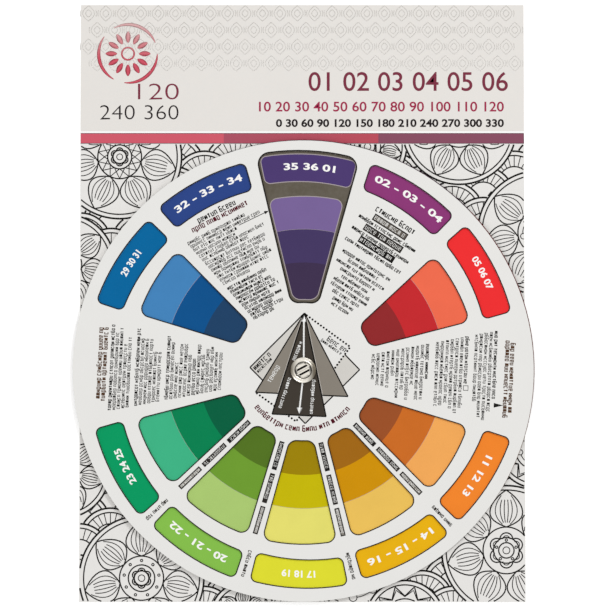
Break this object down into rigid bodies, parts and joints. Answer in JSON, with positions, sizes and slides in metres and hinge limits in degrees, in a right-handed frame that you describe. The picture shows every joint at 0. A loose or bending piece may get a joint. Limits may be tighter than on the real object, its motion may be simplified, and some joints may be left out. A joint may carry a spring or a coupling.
{
  "type": "color mixing wheel",
  "caption": "Colour mixing wheel on its display card: a windowed board disc turns on a binding screw over a printed disc of colour sectors.",
  "frame": {"origin": "on the wheel's axis, at the display card's flat back face", "axes": "+Z out of the printed side, +Y towards the card's header, +X to the right as it is read"},
  "size_m": [0.2003, 0.2597, 0.0042],
  "materials": {
    "card_board": "matt coated board",
    "colour_disc_board": "satin printed board",
    "front_disc_board": "satin printed board",
    "nickel_post": "nickel plated",
    "nickel_washer": "nickel plated",
    "nickel_screw": "nickel plated"
  },
  "bodies": {
    "card": {"backing_card": "card_board"},
    "hub": {"pivot_post": "nickel_post", "cup_washer": "nickel_washer", "pivot_screw": "nickel_screw"},
    "front_disc": {"front_disc": "front_disc_board"},
    "colour_disc": {"colour_disc": "colour_disc_board"}
  },
  "joints": [
    {"name": "wheel_lift", "type": "slide", "parent": "card", "child": "hub", "axis": [0, 0, 1], "range_m": [0, 0.03]},
    {"name": "front_disc_turn", "type": "hinge", "parent": "hub", "child": "front_disc", "pos_m": [0, 0, 0.00235], "axis": [0, 0, 1], "continuous": true},
    {"name": "colour_disc_turn", "type": "hinge", "parent": "hub", "child": "colour_disc", "pos_m": [0, 0, 0.00175], "axis": [0, 0, 1], "continuous": true}
  ]
}
